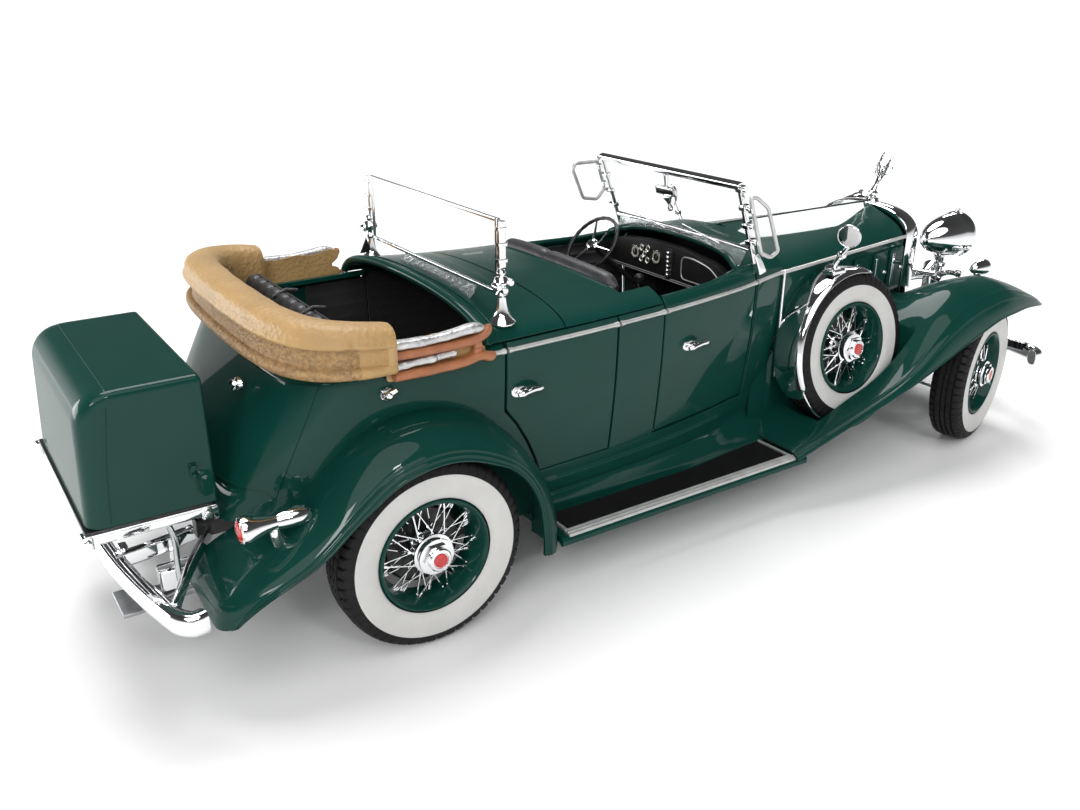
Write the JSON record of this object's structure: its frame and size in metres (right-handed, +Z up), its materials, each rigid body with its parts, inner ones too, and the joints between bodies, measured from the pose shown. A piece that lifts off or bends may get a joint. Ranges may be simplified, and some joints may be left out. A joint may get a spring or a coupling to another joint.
{
  "type": "diecast collector car",
  "caption": "Open four-door 1930s phaeton scale model with folded top, side-mounted spare wheels, rear trunk and a second windshield; doors, hood, cowl and trunk open, wheels roll and steer.",
  "frame": {"origin": "on the ground under the middle of the overall length and width", "axes": "+X towards the front of the car, +Y towards its left side, +Z up"},
  "size_m": [0.3249, 0.1076, 0.0956],
  "materials": {
    "green_paint": "deep glossy dark green paint on a zinc casting",
    "wheel_paint": "glossy green rims with bright wire spokes and hub cap",
    "chrome": "bright plated, mirror-like",
    "grey_metal": "satin grey metal",
    "black_chassis": "black moulded chassis parts, semi-gloss",
    "black_leather": "black pleated seat upholstery, fine grain",
    "black_trim": "black moulded plastic",
    "ribbed_rubber": "black ribbed step mat in a bright edge trim",
    "tyre_rubber": "black rubber with a wide white sidewall band",
    "clear_glass": "clear flat glazing",
    "tan_vinyl": "tan grained vinyl with piped seams",
    "bow_wood": "warm brown bows with silver-grey irons",
    "red_lens": "clear red lens in a bright housing"
  },
  "bodies": {
    "car_body": {"body_shell": "green_paint", "front_fender_r": "green_paint", "rear_fender_r": "green_paint", "hood_side_r": "green_paint", "headlight_r": "chrome", "spare_cover_r": "chrome", "spare_wheel_r": "tyre_rubber", "running_board_r": "ribbed_rubber", "tail_light_r": "red_lens", "top_bows_r": "bow_wood", "front_fender_l": "green_paint", "rear_fender_l": "green_paint", "hood_side_l": "green_paint", "headlight_l": "chrome", "spare_cover_l": "chrome", "spare_wheel_l": "tyre_rubber", "running_board_l": "ribbed_rubber", "tail_light_l": "red_lens", "top_bows_l": "bow_wood", "radiator_shell": "chrome", "mascot": "chrome", "lamp_bar": "chrome", "front_bumper": "chrome", "rear_bumper": "chrome", "windshield_frame": "chrome", "trunk_rack": "chrome", "windshield_glass": "clear_glass", "chassis_frame": "black_chassis", "front_axle": "black_chassis", "rear_axle": "black_chassis", "front_seat": "black_leather", "rear_seat": "black_leather", "dashboard": "black_trim", "radiator_core": "grey_metal", "engine": "grey_metal", "top_boot": "tan_vinyl"},
    "rear_wheel_r_body": {"rear_wheel_r": "wheel_paint", "rear_tyre_r": "tyre_rubber"},
    "knuckle_r_body": {"knuckle_r": "black_chassis"},
    "front_wheel_r_body": {"front_wheel_r": "wheel_paint", "front_tyre_r": "tyre_rubber"},
    "front_door_r_body": {"front_door_r": "green_paint"},
    "rear_door_r_body": {"rear_door_r": "green_paint"},
    "hood_top_r_body": {"hood_top_r": "green_paint"},
    "wind_wing_r_body": {"wind_wing_r": "clear_glass"},
    "rear_wheel_l_body": {"rear_wheel_l": "wheel_paint", "rear_tyre_l": "tyre_rubber"},
    "knuckle_l_body": {"knuckle_l": "black_chassis"},
    "front_wheel_l_body": {"front_wheel_l": "wheel_paint", "front_tyre_l": "tyre_rubber"},
    "front_door_l_body": {"front_door_l": "green_paint"},
    "rear_door_l_body": {"rear_door_l": "green_paint"},
    "hood_top_l_body": {"hood_top_l": "green_paint"},
    "wind_wing_l_body": {"wind_wing_l": "clear_glass"},
    "tie_rod_body": {"tie_rod": "black_chassis"},
    "steering_wheel_body": {"steering_wheel": "black_trim"},
    "tonneau_cowl_body": {"tonneau_cowl": "green_paint"},
    "tonneau_windshield_body": {"tonneau_windshield": "chrome", "tonneau_glass": "clear_glass"},
    "trunk_cover_body": {"trunk_cover": "green_paint"}
  },
  "joints": [
    {"name": "steer_r", "type": "hinge", "parent": "car_body", "child": "knuckle_r_body", "pos_m": [0.11735, -0.0397, 0.0236], "axis": [0, 0, 1], "range_deg": [-33.6, 2.4]},
    {"name": "steer_l", "type": "hinge", "parent": "car_body", "child": "knuckle_l_body", "pos_m": [0.11735, 0.0397, 0.0236], "axis": [0, 0, 1], "range_deg": [-33.6, 2.4]},
    {"name": "tie_rod_slide", "type": "slide", "parent": "car_body", "child": "tie_rod_body", "axis": [0, 1, 0], "range_m": [-0.0006, 0.0068]},
    {"name": "steering_wheel_turn", "type": "hinge", "parent": "car_body", "child": "steering_wheel_body", "pos_m": [-0.0008, 0.016, 0.071], "axis": [-0.766, 0, 0.6428], "range_deg": [-134.5, 9.7]},
    {"name": "rear_wheel_r_spin", "type": "hinge", "parent": "car_body", "child": "rear_wheel_r_body", "pos_m": [-0.09295, -0.0454, 0.0236], "axis": [0, 1, 0], "continuous": true},
    {"name": "front_wheel_r_spin", "type": "hinge", "parent": "knuckle_r_body", "child": "front_wheel_r_body", "pos_m": [0.11835, -0.04326, 0.0236], "axis": [-0.2689, 0.9632, 0], "continuous": true},
    {"name": "front_door_r_hinge", "type": "hinge", "parent": "car_body", "child": "front_door_r_body", "pos_m": [0.0232, -0.0315, 0.05], "axis": [0, 0, 1], "range_deg": [0, 65]},
    {"name": "rear_door_r_hinge", "type": "hinge", "parent": "car_body", "child": "rear_door_r_body", "pos_m": [-0.0331, -0.03955, 0.05], "axis": [0, 0, 1], "range_deg": [0, 65]},
    {"name": "hood_top_r_hinge", "type": "hinge", "parent": "car_body", "child": "hood_top_r_body", "pos_m": [0.07, -0.0003, 0.0761], "axis": [-1, 0, 0], "range_deg": [0, 70]},
    {"name": "rear_wheel_l_spin", "type": "hinge", "parent": "car_body", "child": "rear_wheel_l_body", "pos_m": [-0.09295, 0.0454, 0.0236], "axis": [0, 1, 0], "continuous": true},
    {"name": "front_wheel_l_spin", "type": "hinge", "parent": "knuckle_l_body", "child": "front_wheel_l_body", "pos_m": [0.11636, 0.04326, 0.0236], "axis": [-0.2689, 0.9632, 0], "continuous": true},
    {"name": "front_door_l_hinge", "type": "hinge", "parent": "car_body", "child": "front_door_l_body", "pos_m": [0.0232, 0.0315, 0.05], "axis": [0, 0, -1], "range_deg": [0, 65]},
    {"name": "rear_door_l_hinge", "type": "hinge", "parent": "car_body", "child": "rear_door_l_body", "pos_m": [-0.0331, 0.03955, 0.05], "axis": [0, 0, -1], "range_deg": [0, 65]},
    {"name": "hood_top_l_hinge", "type": "hinge", "parent": "car_body", "child": "hood_top_l_body", "pos_m": [0.07, 0.0003, 0.0761], "axis": [1, 0, 0], "range_deg": [0, 70]},
    {"name": "wind_wing_r_swivel", "type": "hinge", "parent": "car_body", "child": "wind_wing_r_body", "pos_m": [0.022, -0.03385, 0.0716], "axis": [-0.3398, 0, 0.9405], "range_deg": [-20, 8]},
    {"name": "wind_wing_l_swivel", "type": "hinge", "parent": "car_body", "child": "wind_wing_l_body", "pos_m": [0.022, 0.03385, 0.0716], "axis": [-0.3398, 0, 0.9405], "range_deg": [-20, 8]},
    {"name": "tonneau_cowl_hinge", "type": "hinge", "parent": "car_body", "child": "tonneau_cowl_body", "pos_m": [-0.0498, 0, 0.0745], "axis": [0, 1, 0], "range_deg": [0, 60]},
    {"name": "tonneau_windshield_tilt", "type": "hinge", "parent": "tonneau_cowl_body", "child": "tonneau_windshield_body", "pos_m": [-0.0655, 0, 0.0813], "axis": [0, 1, 0], "range_deg": [-15, 15]},
    {"name": "trunk_cover_hinge", "type": "hinge", "parent": "car_body", "child": "trunk_cover_body", "pos_m": [-0.1612, 0, 0.0405], "axis": [0, -1, 0], "range_deg": [0, 80]}
  ],
  "couplings": [
    {"joint": "steer_l", "follows": "steer_r", "ratio": 1},
    {"joint": "tie_rod_slide", "follows": "steer_r", "m_per_rad": -0.0113},
    {"joint": "steering_wheel_turn", "follows": "steer_r", "ratio": 4}
  ]
}
